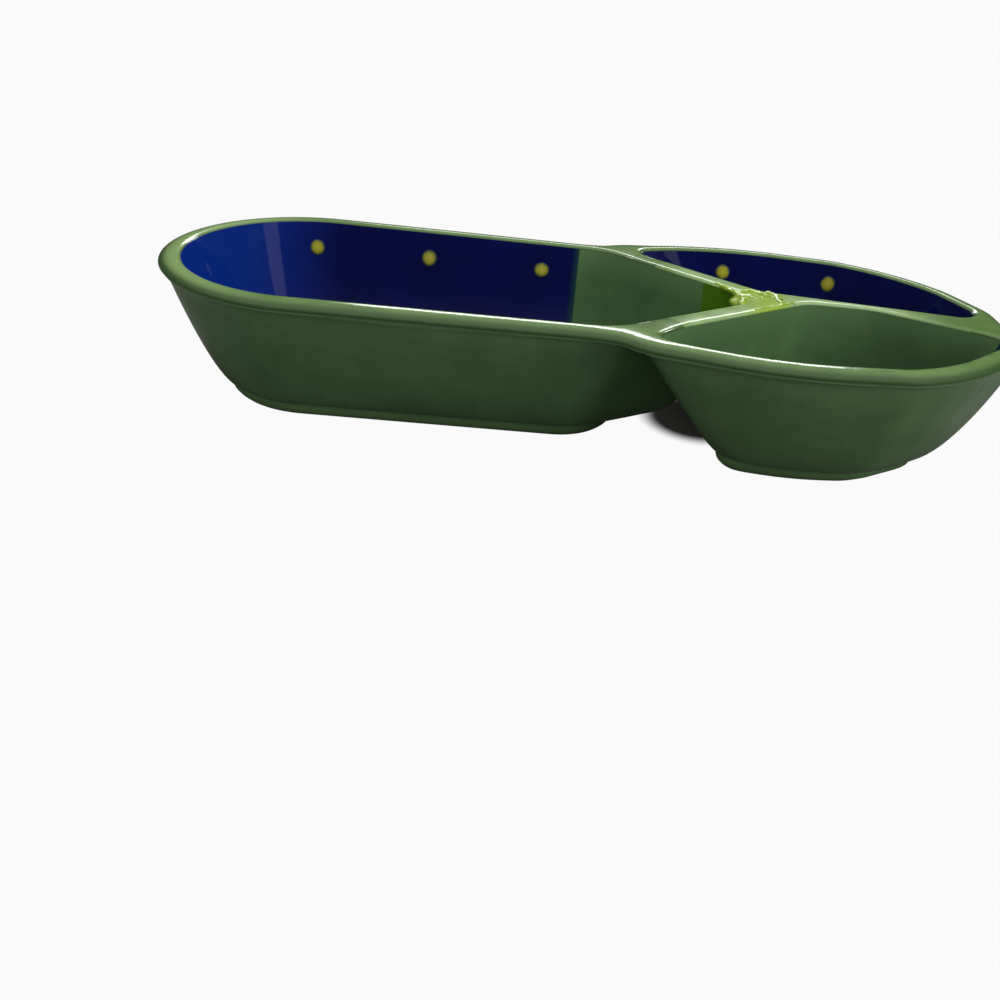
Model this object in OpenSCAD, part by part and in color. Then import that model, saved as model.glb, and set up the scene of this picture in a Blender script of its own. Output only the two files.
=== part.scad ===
// Three-compartment olive dish in glazed earthenware, in millimetres.
// A long bowl and a pair of small bowls share one rim. The long axis is X and the small bowls
// lie at +X. The dish stands on Z = 0, and the origin is under the middle of its length.

/* [Dish] */
// Length over the rim
dish_len = 298; // [284:1:312]
// Width over the rim of the long bowl
long_w = 105; // [98:1:112]
// Width over the rim of the two small bowls
pair_w = 131; // [125:1:138]
// Length of the small bowls from the junction of the ridges to the end
pair_len = 78; // [73:1:83]
// Height of the rim above the table
dish_h = 49.5; // [46:0.5:55]

/* [Rim and ridges] */
// Width of the rim between its outer edge and an opening
rim_w = 7.5; // [6.5:0.1:8.5]
// Height of the rim on top of the bowl walls
rim_h = 4.5; // [4:0.1:5.5]
// Width of a slanted ridge between the long opening and a small one
ridge_w = 8; // [7.4:0.1:8.6]
// Angle between the long axis and a slanted ridge
ridge_angle = 38; // [35:0.5:41]
// Drop of the ridge tops below the rim
ridge_drop = 0.3; // [0.2:0.1:1]
// Diameter of the clay knot where the ridges meet
knot_d = 19; // [16:0.5:21]

/* [Bowls and feet] */
// Wall thickness beside a ridge
wall_t = 3.4; // [2.8:0.1:3.6]
// Thickness of a bowl's floor
floor_t = 4; // [3:0.1:5.5]
// Distance of a foot inside the edge of its opening
foot_inset = 18.5; // [16:0.5:21]
// Height of a foot
foot_h = 5; // [4:0.1:6]
// Step of a foot inside the wall above it
foot_step = 0.8; // [0.4:0.1:1.2]

/* [Glaze] */
// Thickness of a blue coat
coat_t = 0.4; // [0.3:0.1:0.8]
// Diameter of a raised dot
dot_d = 6; // [4:0.1:8]
// Height of a raised dot
dot_h = 0.8; // [0.5:0.1:1.2]
// Depth of a long bowl's dots below the rim
dot_drop = 10; // [9:0.5:12]
// Depth of a small bowl's dots below the rim
small_dot_drop = 8; // [7.5:0.5:10]

/* [Hidden] */

// Sides of a wall outline, of the rim's path and of small round shapes
wall_n = 72;
rim_n = 160;
round_n = 20;

// Levels
lip_h = 0.6;
edge_z = dish_h - lip_h;
rim_z = dish_h - rim_h;
ridge_z = dish_h - ridge_drop;
floor_z = foot_h + floor_t;
over = 1;

// Share of a quarter round in a wall's section, which rounds it off above the foot: of the long
// bowl at its end, corners and point, and of a small bowl at its inner, middle and outer sides
long_bulge = [0.31, 0.45, 0.3];
small_bulge = [0.1, 0.4, 0.54];
// Levels of a wall's rings, as shares of its height
wall_steps = [0, 0.03, 0.1, 0.25, 0.5, 0.75, 1];

// Plan of the openings: circles [x, y, radius, bulge] whose common hull is the opening's edge.
// A small bowl is worked out on the +Y side: side is 1 for the back bowl and -1 for the front one.
half_long = long_w / 2 - rim_w;
half_pair = pair_w / 2 - rim_w;
half_ridge = ridge_w / 2;
junction_x = dish_len / 2 - pair_len;
junction = [junction_x, 0];
end_x = rim_w + half_long - dish_len / 2;
// Unit vectors from the junction out along the slanted ridge, and across it to the small bowl
along = [-cos(ridge_angle), sin(ridge_angle)];
across = [sin(ridge_angle), cos(ridge_angle)];
// The end ridge leans and widens: y of its back and front sides at the knot, its middle and the rim
end_ridge_back = [9.7, 9.2, 2.6];
end_ridge_front = [2, 1.9, -13.4];
function end_ridge(side, i) = side > 0 ? end_ridge_back[i] : -end_ridge_front[i];
// Where a foot lies under its opening, as shifts in shares of the foot's inset
fi = foot_inset;
end_in = 0.76;
corner_in = [0.44, 0.84];
// The long foot stops short of its wall's pointed end
point_in = 1.3;
foot_point_in = 2.1;
tip_in = [1.75, -0.82];
front_inner_in = [-0.2, 0.25];
back_inner_in = [0.17, 0.05];
rim_in = [-1, 0.06];
bow_in = [0, 0.05];
shoulder_in = 0.42;
shoulder_less = 0.37;

corner_r = 24;
// The long opening narrows a little from its round end to its corners
long_taper = 2.1;
corner_y = half_long - corner_r - long_taper;
corner_s = (corner_y + across.y * (half_ridge + corner_r)) / along.y;
corner = [junction_x + along.x * corner_s - across.x * (half_ridge + corner_r), corner_y];
corner_base = corner - fi * corner_in;
point_r = 9;
point_x = junction_x - (half_ridge + point_r) / across.x;
function long_circles(end_c, corner_c, point_c) =
    [[end_c.x, end_c.y, end_c.z, long_bulge[0]],
     [corner_c.x, corner_c.y, corner_c.z, long_bulge[1]],
     [corner_c.x, -corner_c.y, corner_c.z, long_bulge[1]],
     [point_c.x, point_c.y, point_c.z, long_bulge[2]]];
long_edge = long_circles([end_x, 0, half_long], [corner.x, corner.y, corner_r], [point_x, 0, point_r]);
function long_under(share) =
    long_circles([end_x, 0, half_long - end_in * fi], [corner_base.x, corner_base.y, corner_r],
                 [point_x - share * fi, 0, point_r]);
long_base = long_under(point_in);
long_stand = long_under(foot_point_in);

tip_r = 4.3;
inner_r = 6.9;
bow_r = 20;
// The front bowl's tip stands off the slanted ridge
tip_off = 2.3;
function tip(side) =
    junction + along * 0.8 * pair_len + across * (half_ridge + tip_r + (side > 0 ? 0 : tip_off));
function inner(side) =
    let (y = end_ridge(side, 0) + inner_r)
    [junction_x + (half_ridge + inner_r - across.y * y) / across.x, y];
function bow(side) = [junction_x + 0.36 * pair_len, end_ridge(side, 1) + bow_r];
function end(side) = [dish_len / 2 - rim_w - inner_r, end_ridge(side, 2) + inner_r];
// A small bowl's long outer side is a wide arc and then a tighter one, with circles inside them
// that stay clear of the slanted ridge
belly_r = 1.93 * half_pair;
belly_hub = [junction_x - 3, half_pair - belly_r];
belly_turns = [106, 101, 96, 91, 86];
shoulder_r = 1.13 * half_pair;
shoulder_hub = [junction_x + 0.106 * pair_len, -0.13 * half_pair];
shoulder_turns = [70, 60, 50, 42, 35];
shoulder_rs = [20, 17, 14, 11, 9];
// A base circle is wider than the wall, so that the wall's inner side has a circle there too
least_r = wall_t + 1;
// Circle of radius r inside an arc, moved out by shift and widened by d
function arc_circle(hub, radius, turn, most, shift, d, bulge) =
    let (out = [cos(turn), sin(turn)], p = hub + radius * out)
    let (room = (across * (p - junction) - half_ridge) / (1 + across * out))
    let (r = min(most, room), c = p + (shift - r) * out)
    [c.x, c.y, max(r + d, least_r), bulge];
function belly(shift, d) =
    [for (turn = belly_turns) arc_circle(belly_hub, belly_r, turn, bow_r, shift, d, small_bulge[1])];
function shoulder(shift, d) =
    [for (i = [0 : len(shoulder_turns) - 1])
        arc_circle(shoulder_hub, shoulder_r, shoulder_turns[i], shoulder_rs[i], shift, d, small_bulge[2])];
function circle_at(p, r, bulge) = [p.x, p.y, r, bulge];
function small_edge(side) =
    concat([circle_at(tip(side), tip_r, small_bulge[0]), circle_at(inner(side), inner_r, small_bulge[0]),
            circle_at(end(side), inner_r, small_bulge[2]), circle_at(bow(side), bow_r, small_bulge[0])],
           belly(0, 0), shoulder(0, 0));
// Bow of the base's long side between the tip and the shoulder, and radii of its corners
belly_base_rise = 1.5;
tip_base_r = 9.9;
base_share = 0.88;
function small_base(side) =
    let (tip_base = circle_at(tip(side) + fi * tip_in, tip_base_r, small_bulge[0]))
    let (inner_in = side > 0 ? back_inner_in : front_inner_in)
    let (rows = shoulder(-shoulder_in * fi, -shoulder_less * fi), steps = len(belly_turns) + 1)
    concat([tip_base,
            circle_at(inner(side) + fi * inner_in, base_share * inner_r, small_bulge[0]),
            circle_at(end(side) + fi * rim_in, base_share * inner_r, small_bulge[2]),
            circle_at(bow(side) + fi * bow_in, base_share * bow_r, small_bulge[0])],
           [for (i = [1 : steps - 1])
               let (c = tip_base + (rows[0] - tip_base) * i / steps)
               [c.x, c.y + belly_base_rise * sin(180 * i / steps), c.z, small_bulge[1]]],
           rows);

// Plan of the outside of the walls at the openings' level: thin beside a ridge, and nearly as
// wide as the rim elsewhere
lip_w = rim_w - 1;
lip_more = lip_w - wall_t;
lip_shift = along * lip_more / along.y;
long_lip = long_circles([end_x, 0, half_long + lip_w],
                        [corner.x + lip_shift.x, corner.y + lip_shift.y, corner_r + wall_t],
                        [point_x, 0, point_r + wall_t]);
function small_lip(side) =
    concat([circle_at(tip(side) + lip_shift, tip_r + wall_t, small_bulge[0]),
            circle_at(inner(side), inner_r + wall_t, small_bulge[0]),
            circle_at(end(side) + [lip_more, 0], inner_r + wall_t, small_bulge[2]),
            circle_at(bow(side), bow_r + wall_t, small_bulge[0])],
           belly(lip_more, wall_t), shoulder(lip_more, wall_t));

// Section of the opening's edge: [rise above edge_z, widening]
mouth = [[0, 0], [0.5 * lip_h, 0.4], [0.85 * lip_h, 1.2], [lip_h, 2.4], [lip_h + over, 2.6]];
// Section of a foot's rounded lower edge: [share of its height, inset past its step]
foot_round = [[0, 2.4], [0.12, 1.4], [0.32, 0.5], [0.64, 0], [1, 0]];
// Section of the rim's outer side: [distance inside the outer edge, level]
rim_core = rim_w + 3.2;
rim_side = [[2.2, rim_z], [0.9, rim_z + 0.7], [0.2, rim_z + 1.2], [0, dish_h - 2.9], [0.5, dish_h - 1.7],
            [1.4, dish_h - 1], [3, dish_h - 0.35], [5.2, dish_h],
            [rim_core, dish_h], [rim_core, rim_z]];
// Room for the end ridge, which widens towards the rim: its reach in front and behind
web_front = 2 * ridge_w;
web_back = 1.5 * ridge_w;
// The knot lies over the end of the long opening, and has a straight side under its dome
knot_x = junction_x - 8;
knot_y = 2;
knot_stem = 3;
// The ridges part within the knot, and the front ridge runs on past it to the front opening's corner,
// where it parts from the end ridge on a line from the knot to the rim
split_x = junction_x - 6;
front_split_x = junction_x + 9;
stop_x = dish_len / 2 - rim_core;
far_x = junction_x - pair_len;
function parting_y(x) = knot_y - (x - knot_x) * (web_front + knot_y) / (stop_x - knot_x);
// Reach of the blend where the long bowl's outline runs into the pair's
waist_blend = 30;
rim_hub = [junction_x - 0.45 * pair_len, 0];
// Step in degrees between the tangents that bound an outline
tangent_step = 0.5;

// Places of the dots along X, and where the blue coats end
long_dot_first = end_x - 7.5;
long_dot_pitch = 44.5;
small_dot_first = junction_x - pair_len / 6;
small_dot_pitch = 42;
blue_end_x = corner.x - 2.5;

// Widens a list of circles, or turns it over the long axis
function grow(c, d) = [for (k = c) [k.x, k.y, k.z + d, k[3]]];
function flip(c) = [for (k = c) [k.x, -k.y, k.z, k[3]]];

// Point of the circles' hull that lies furthest in the direction [nx, ny]
function furthest(c, nx, ny) =
    let (reach = [for (k = c) k.x * nx + k.y * ny + k.z], best = max(reach))
    let (k = c[search(best, reach)[0]])
    [k.x + k.z * nx, k.y + k.z * ny];
function outline(c, count) =
    [for (i = [0 : count - 1]) furthest(c, cos(360 * i / count), sin(360 * i / count))];
function lift(points, z) = [for (p = points) [p.x, p.y, z]];

// A wall's spread from its base (0) to its edge (1) at a share s of its height
function spread(s, bulge) = (1 - bulge) * s + bulge * sqrt(max(0, 1 - (1 - s) * (1 - s)));
function wall_circles(base, edge, s) =
    [for (i = [0 : len(edge) - 1])
        let (t = spread(s, edge[i][3]))
        base[i] * (1 - t) + edge[i] * t];
function wall_ring(base, edge, z0, z, d, rise = 0) =
    lift(outline(grow(wall_circles(base, edge, (z - z0) / (edge_z - z0)), d), wall_n), z + rise);
function outside(base, lip) =
    [for (s = wall_steps) wall_ring(base, lip, foot_h, foot_h + s * (rim_z - foot_h), 0)];
function inside(base, edge, d) =
    [for (s = wall_steps)
        let (z = floor_z + s * (rim_z - floor_z))
        wall_ring(grow(base, -wall_t), edge, floor_z, z, -d, d * (1 - s))];
function reversed(list) = [for (i = [len(list) - 1 : -1 : 0]) list[i]];

// Outer edge of the rim: two outlines seen from one hub and blended where they cross
function tangents(c) =
    [for (turn = [0 : tangent_step : 359])
        let (n = [cos(turn), sin(turn)])
        [n.x, n.y, max([for (k = c) n * ([k.x, k.y] - rim_hub) + k.z])]];
long_tangents = tangents(grow(long_edge, rim_w));
pair_tangents = tangents(grow(concat(small_edge(1), flip(small_edge(-1))), rim_w));
function ray_length(tangents, ray) =
    min([for (t = tangents)
        let (facing = t.x * ray.x + t.y * ray.y)
        if (facing > 0.05) t.z / facing]);
function joined(a, b) = max(a, b) + pow(max(waist_blend - abs(a - b), 0), 2) / (4 * waist_blend);
function rim_point(turn) =
    let (ray = [cos(turn), sin(turn)])
    rim_hub + joined(ray_length(long_tangents, ray), ray_length(pair_tangents, ray)) * ray;
rim_path = [for (i = [0 : rim_n - 1]) rim_point(360 * i / rim_n)];
function rim_offset(d) =
    [for (i = [0 : rim_n - 1])
        let (v = rim_path[(i + 1) % rim_n] - rim_path[(i + rim_n - 1) % rim_n])
        rim_path[i] - d * [v.y, -v.x] / norm(v)];

// Solid through a stack of rings, closed at both ends or joined into a loop
module loft(rings, loop = false) {
    n = len(rings[0]);
    m = len(rings);
    // Each cell is cut on the diagonal that climbs, so two solids that share a wall match
    sides = [for (j = [0 : m - (loop ? 1 : 2)], i = [0 : n - 1])
        let (k = (j + 1) % m, h = (i + 1) % n)
        let (a = j * n + i, b = k * n + i, c = k * n + h, d = j * n + h)
        each rings[k][0].z >= rings[j][0].z ? [[a, b, c], [a, c, d]] : [[b, c, d], [b, d, a]]];
    first = [for (i = [0 : n - 1]) i];
    last = [for (i = [n - 1 : -1 : 0]) (m - 1) * n + i];
    polyhedron([for (r = rings) each r], loop ? sides : concat(sides, [first, last]), convexity = 8);
}

module prism(points, bottom, top) {
    loft([for (z = [bottom, top]) lift(points, z)]);
}

module bowl(base, lip, edge) {
    loft(concat(outside(base, lip), reversed(inside(base, edge, 0))));
}

module foot(base) {
    loft([for (r = foot_round) lift(outline(grow(base, -foot_step - r[1]), wall_n), r[0] * foot_h)]);
}

// Hollow of a bowl below the rim, drawn in by d, and its mouth through the rim
module hollow(base, edge, d, top = 0) {
    walls = inside(base, edge, d);
    loft(top > 0 ? concat(walls, [lift(walls[len(walls) - 1], rim_z + top)]) : walls);
}

module mouth_cut(base, edge) {
    inner_base = grow(base, -wall_t);
    below = [for (z = [rim_z - over, rim_z]) wall_ring(inner_base, edge, floor_z, z, 0)];
    above = [for (m = mouth) lift(outline(grow(edge, m[1]), wall_n), edge_z + m[0])];
    loft(concat(below, above));
}

module mouths() {
    mouth_cut(long_base, long_edge);
    mouth_cut(small_base(1), small_edge(1));
    mirror([0, 1, 0])
        mouth_cut(small_base(-1), small_edge(-1));
}

// Round dome of a radius and height, on a straight stem that goes down into what carries it
module dome(radius, height, stem) {
    crown = [for (a = [0, 25, 50, 75]) [radius * cos(a), height * sin(a)]];
    loft([for (p = concat([[radius, -stem]], crown)) lift(outline([[0, 0, p[0]]], round_n), p[1])]);
}

module blue_coat(base, edge) {
    difference() {
        hollow(base, edge, 0);
        hollow(base, edge, coat_t, over);
    }
}

// Place on the +Y wall of a hollow at a given x and level, and the domes that sit there
function wall_y(base, edge, x, z) =
    let (ring = wall_ring(grow(base, -wall_t), edge, floor_z, z, -coat_t))
    lookup(x, [for (i = [0 : wall_n / 2]) [ring[i].x, ring[i].y]]);

module dots(base, edge, places, drop) {
    z = dish_h - drop;
    reach = 2;
    intersection() {
        hollow(base, edge, coat_t);
        for (x = places) {
            y = wall_y(base, edge, x, z);
            slope_x = (wall_y(base, edge, x + reach, z) - wall_y(base, edge, x - reach, z)) / (2 * reach);
            slope_z = (wall_y(base, edge, x, z + reach) - wall_y(base, edge, x, z - reach)) / (2 * reach);
            facing = [slope_x, -1, slope_z] / norm([slope_x, -1, slope_z]);
            translate([x, y, z])
                rotate([0, acos(facing.z), atan2(facing.y, facing.x)])
                    dome(dot_d / 2, dot_h, over);
        }
    }
}

// Ridge between two openings, cut from a slab that runs from the knot out to the rim
module divider() {
    difference() {
        children();
        mouths();
        prism(outline([[knot_x, knot_y, knot_d / 2]], round_n), rim_z - over, dish_h);
    }
}

module slanted_divider(plan) {
    divider()
        intersection() {
            prism(rim_offset(rim_core), rim_z, ridge_z);
            prism(plan, rim_z - over, dish_h);
        }
}

module small_bowl(side) {
    bowl(small_base(side), small_lip(side), small_edge(side));
}

module small_coat(side) {
    // The coat ends on the line between the opening's two outer corners
    start = tip(side);
    stop = end(side);
    reach = stop - start;
    difference() {
        blue_coat(small_base(side), small_edge(side));
        prism([start - reach, [start.x - reach.x, -pair_w], [stop.x + reach.x, -pair_w], stop + reach],
              0, dish_h);
    }
}

module small_dots(side) {
    places = [for (i = [0, 1]) small_dot_first + i * small_dot_pitch];
    dots(small_base(side), small_edge(side), places, small_dot_drop);
}

module long_bowl() {
    color("#4A7344")
        bowl(long_base, long_lip, long_edge);
}

module front_bowl() {
    color("#4A7344")
        mirror([0, 1, 0])
            small_bowl(-1);
}

module back_bowl() {
    color("#4A7344")
        small_bowl(1);
}

module long_foot() {
    color("#3F6439")
        foot(long_stand);
}

module front_foot() {
    color("#3F6439")
        mirror([0, 1, 0])
            foot(small_base(-1));
}

module back_foot() {
    color("#3F6439")
        foot(small_base(1));
}

module outer_rim() {
    color("#7DA35B")
        difference() {
            loft([for (s = rim_side) lift(rim_offset(s[0]), s[1])], loop = true);
            mouths();
        }
}

module front_divider() {
    color("#8FB070")
        slanted_divider([[far_x, -pair_w], [front_split_x, -pair_w],
                         [front_split_x, parting_y(front_split_x)],
                         [knot_x, knot_y], [far_x, knot_y]]);
}

module back_divider() {
    color("#8FB070")
        slanted_divider([[far_x, knot_y], [split_x, knot_y], [split_x, pair_w], [far_x, pair_w]]);
}

module end_divider() {
    color("#8FB070")
        divider()
            prism([[split_x, parting_y(split_x)], [stop_x, -web_front],
                   [stop_x, web_back], [split_x, web_back]],
                  rim_z, ridge_z);
}

module centre_knot() {
    color("#9BB447")
        difference() {
            translate([knot_x, knot_y, rim_z + knot_stem])
                dome(knot_d / 2, rim_h - knot_stem, knot_stem);
            mouths();
        }
}

module long_blue_coat() {
    color("#1B2F86")
        difference() {
            blue_coat(long_base, long_edge);
            prism([[blue_end_x, -long_w], [dish_len, -long_w], [dish_len, long_w], [blue_end_x, long_w]],
                  0, dish_h);
        }
}

module front_blue_coat() {
    color("#1B2F86")
        mirror([0, 1, 0])
            small_coat(-1);
}

module back_blue_coat() {
    color("#1B2F86")
        small_coat(1);
}

module long_dots() {
    color("#C9C23A")
        for (turned = [0, 1])
            mirror([0, turned, 0])
                dots(long_base, long_edge,
                     [for (i = [0 : 2]) long_dot_first + i * long_dot_pitch], dot_drop);
}

module front_dots() {
    color("#C9C23A")
        mirror([0, 1, 0])
            small_dots(-1);
}

module back_dots() {
    color("#C9C23A")
        small_dots(1);
}

long_bowl();
front_bowl();
back_bowl();
long_foot();
front_foot();
back_foot();
outer_rim();
front_divider();
back_divider();
end_divider();
centre_knot();
long_blue_coat();
front_blue_coat();
back_blue_coat();
long_dots();
front_dots();
back_dots();
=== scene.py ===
"""Three-compartment olive dish in glazed earthenware: its looks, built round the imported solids."""
import math

import bmesh
import bpy
import numpy as np
from mathutils import Matrix, Vector, noise
from mathutils.geometry import delaunay_2d_cdt


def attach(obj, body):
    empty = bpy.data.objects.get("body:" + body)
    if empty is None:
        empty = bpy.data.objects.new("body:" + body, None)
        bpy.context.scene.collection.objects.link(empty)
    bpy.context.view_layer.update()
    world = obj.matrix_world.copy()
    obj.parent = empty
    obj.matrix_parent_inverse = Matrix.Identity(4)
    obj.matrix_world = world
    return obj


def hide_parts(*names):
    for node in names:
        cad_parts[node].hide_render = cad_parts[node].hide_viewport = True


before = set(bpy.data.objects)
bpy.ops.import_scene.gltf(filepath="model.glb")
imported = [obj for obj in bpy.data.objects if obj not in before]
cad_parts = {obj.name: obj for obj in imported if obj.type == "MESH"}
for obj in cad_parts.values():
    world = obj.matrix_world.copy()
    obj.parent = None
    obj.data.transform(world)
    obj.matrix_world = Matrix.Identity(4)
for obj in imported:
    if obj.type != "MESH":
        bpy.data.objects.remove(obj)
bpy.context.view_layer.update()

# The plan and sections are worked out in millimetres in the solids' frame, and meshes are in metres
MM = 0.001

# Plan and levels, as in the part's source
DISH_LEN, LONG_W, PAIR_W, PAIR_LEN, DISH_H = 298, 105, 131, 78, 49.5
RIM_W, RIM_H, RIDGE_W, RIDGE_ANGLE, RIDGE_DROP = 7.5, 4.5, 8, 38, 0.3
WALL_T, FLOOR_T, FOOT_INSET, FOOT_H = 3.4, 4, 18.5, 5
DOT_D, LONG_DOT_DROP, SMALL_DOT_DROP = 6, 10, 8
LIP_H = 0.6
EDGE_Z = DISH_H - LIP_H
RIM_Z = DISH_H - RIM_H
FLOOR_Z = FOOT_H + FLOOR_T
WALL_N, RIM_N = 240, 540
# The end ridge leans and widens: y of its back (1) and front (-1) side at the knot, its middle and the rim
END_SIDES = {1: (9.7, 9.2, 2.6), -1: (2, 1.9, -13.4)}
# The front bowl's tip stands off the slanted ridge
TIP_OFF = {1: 0, -1: 2.3}

half_long = LONG_W / 2 - RIM_W
half_pair = PAIR_W / 2 - RIM_W
half_ridge = RIDGE_W / 2
junction_x = DISH_LEN / 2 - PAIR_LEN
junction = np.array([junction_x, 0])
end_x = RIM_W + half_long - DISH_LEN / 2
slant = math.radians(RIDGE_ANGLE)
along = np.array([-math.cos(slant), math.sin(slant)])
across = np.array([math.sin(slant), math.cos(slant)])


def circles(*rows):
    """Rows of a circle's x, y, radius and bulge as one array."""
    return np.array(rows, dtype=float)


def grow(c, d):
    """Circles with their radii grown by d."""
    return c + np.array([0, 0, d, 0])


def flip(c):
    """Circles mirrored to the other side of the dish."""
    return c * np.array([1, -1, 1, 1])


# Openings, feet and outsides of the walls: circles [x, y, radius, bulge] whose common hull is the
# outline. The bulge is the share of a quarter round in the wall's section at that circle.
# The corners stay a little inside the long sides' line, and the walls' outsides inside the rim's edge.
corner_r, point_r = 24, 9
CORNER_SHY, LIP_SHY = 2.1, 1
B_END, B_CORNER, B_POINT = 0.31, 0.45, 0.3
corner_y = half_long - corner_r - CORNER_SHY
corner_s = (corner_y + across[1] * (half_ridge + corner_r)) / along[1]
corner_x = junction_x + along[0] * corner_s - across[0] * (half_ridge + corner_r)
point_x = junction_x - (half_ridge + point_r) / across[0]
lip_w = RIM_W - LIP_SHY
lip_shift = (lip_w - WALL_T) / along[1] * along
fi = FOOT_INSET
# Where the base lies under its opening, in shares of the inset
END_IN, CORNER_IN, TIP_IN, RIM_IN, BASE_INSET = 0.76, (0.44, 0.84), (1.75, 0.82), 1, 0.42
INNER_IN = {1: (0.17, 0.05), -1: (-0.2, 0.25)}
END_OFF, BOW_OFF, SHOULDER_SHRINK = 0.06, 0.05, 0.37
# The long foot stops short of its wall's pointed end
POINT_IN, FOOT_POINT_IN = 1.3, 2.1
# At the base the tip's circle grows, the others shrink, and the belly's side bows out a little
TIP_GROW, BASE_SHARE, BELLY_BASE_RISE = 2.3, 0.88, 1.5
corner_base = (corner_x - CORNER_IN[0] * fi, corner_y - CORNER_IN[1] * fi)
corner_lip = (corner_x + lip_shift[0], corner_y + lip_shift[1])
long_edge = circles([end_x, 0, half_long, B_END], [corner_x, corner_y, corner_r, B_CORNER],
                    [corner_x, -corner_y, corner_r, B_CORNER], [point_x, 0, point_r, B_POINT])
long_base, long_stand = (circles([end_x, 0, half_long - END_IN * fi, B_END],
                                 [corner_base[0], corner_base[1], corner_r, B_CORNER],
                                 [corner_base[0], -corner_base[1], corner_r, B_CORNER],
                                 [point_x - share * fi, 0, point_r, B_POINT])
                         for share in (POINT_IN, FOOT_POINT_IN))
long_lip = circles([end_x, 0, half_long + lip_w, B_END],
                   [corner_lip[0], corner_lip[1], corner_r + WALL_T, B_CORNER],
                   [corner_lip[0], -corner_lip[1], corner_r + WALL_T, B_CORNER],
                   [point_x, 0, point_r + WALL_T, B_POINT])

# Small opening, worked out on the +Y side: side is 1 for the back bowl and -1 for the front bowl
tip_r, inner_r, side_r = 4.3, 6.9, 20
# Its tip and bow lie at these shares of the pair's length from the junction
TIP_AT, BOW_AT = 0.8, 0.36
B_INNER, B_BELLY, B_OUTER = 0.1, 0.4, 0.54
# Its outer side is a wide arc and then a tighter one, with circles inside them: hub, radius, bulge,
# and each circle's turn and radius
belly_r, shoulder_r = 1.93 * half_pair, 1.13 * half_pair
belly_hub = (junction_x - 3, half_pair - belly_r)
shoulder_hub = (junction_x + 0.106 * PAIR_LEN, -0.13 * half_pair)
BELLY = [(106, 20), (101, 20), (96, 20), (91, 20), (86, 20)]
SHOULDER = [(70, 20), (60, 17), (50, 14), (42, 11), (35, 9)]
SIDES = [(belly_hub, belly_r, B_BELLY, BELLY), (shoulder_hub, shoulder_r, B_OUTER, SHOULDER)]


def side_circles(shift=0.0, wider=0.0, inset=0.0):
    """Circles along a small bowl's outer side: moved out by shift, wider, and set in by a share."""
    rows = []
    for hub, radius, bulge, parts in SIDES:
        for turn, most in parts:
            out = np.array([math.cos(math.radians(turn)), math.sin(math.radians(turn))])
            p = np.array(hub) + radius * out
            r = min(most, (across @ (p - junction) - half_ridge) / (1 + across @ out))
            rows.append([*(p + (shift - r - inset * fi) * out), max(r + wider, WALL_T + 1), bulge])
    return rows


def small_bowl(side):
    """Circles of a small bowl's base, outside and opening."""
    at_knot, at_middle, at_rim = (side * y for y in END_SIDES[side])
    tip = junction + along * TIP_AT * PAIR_LEN + across * (half_ridge + tip_r + TIP_OFF[side])
    inner_y = at_knot + inner_r
    inner = np.array([junction_x + (half_ridge + inner_r - across[1] * inner_y) / across[0], inner_y])
    end = np.array([DISH_LEN / 2 - RIM_W - inner_r, at_rim + inner_r])
    bow = np.array([junction_x + BOW_AT * PAIR_LEN, at_middle + side_r])
    edge = circles([*tip, tip_r, B_INNER], [*inner, inner_r, B_INNER], [*end, inner_r, B_OUTER],
                   [*bow, side_r, B_INNER], *side_circles())
    tip_base = np.array([tip[0] + TIP_IN[0] * fi, tip[1] - TIP_IN[1] * fi, TIP_GROW * tip_r, 0])
    shoulder_base = circles(*side_circles(0, -SHOULDER_SHRINK * fi, BASE_INSET)[len(BELLY):])
    belly_base = [tip_base * (1 - t) + shoulder_base[0] * t
                  + [0, BELLY_BASE_RISE * math.sin(math.pi * t), 0, 0]
                  for t in np.linspace(0, 1, len(BELLY) + 2)[1:-1]]
    base = circles(tip_base, [*(inner + fi * np.array(INNER_IN[side])), BASE_SHARE * inner_r, 0],
                   [end[0] - RIM_IN * fi, end[1] + END_OFF * fi, BASE_SHARE * inner_r, 0],
                   [bow[0], bow[1] + BOW_OFF * fi, BASE_SHARE * side_r, 0], *belly_base, *shoulder_base)
    base[:, 3] = edge[:, 3]
    lip = circles([*(tip + lip_shift), tip_r + WALL_T, 0], [*inner, inner_r + WALL_T, 0],
                  [end[0] + lip_w - WALL_T, end[1], inner_r + WALL_T, 0], [*bow, side_r + WALL_T, 0],
                  *side_circles(lip_w - WALL_T, WALL_T))
    lip[:, 3] = edge[:, 3]
    return base, lip, edge


BOWLS = {"long": (long_base, long_lip, long_edge),
         "front": tuple(flip(c) for c in small_bowl(-1)),
         "back": small_bowl(1)}
pair_edges = np.vstack([BOWLS["front"][2], BOWLS["back"][2]])

turns = np.radians(np.arange(0, 360, 0.5))
ways = np.c_[np.cos(turns), np.sin(turns)]


def reach(c, n=ways):
    """How far the circles' hull goes in each direction."""
    return (c[:, :2] @ n.T + c[:, 2:3]).max(0)


def outline(c, count=WALL_N, soft=2.0):
    """Edge of the circles' hull: evenly spaced points, with each change of curve eased over soft mm."""
    best = (ways @ c[:, :2].T + c[:, 2]).argmax(1)
    p = c[best, :2] + c[best, 2:3] * ways
    return even(p, count, soft)


def even(p, count, soft):
    """A closed line as evenly spaced points, smoothed over soft mm."""
    closed = np.vstack([p, p[:1]])
    run = np.concatenate([[0], np.cumsum(np.linalg.norm(np.diff(closed, axis=0), axis=1))])
    at = np.linspace(0, run[-1], count, endpoint=False)
    q = np.c_[np.interp(at, run, closed[:, 0]), np.interp(at, run, closed[:, 1])]
    keep = np.exp(-2 * (math.pi * np.fft.rfftfreq(count, run[-1] / count) * soft) ** 2)
    return np.fft.irfft(np.fft.rfft(q, axis=0) * keep[:, None], count, axis=0)


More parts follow.
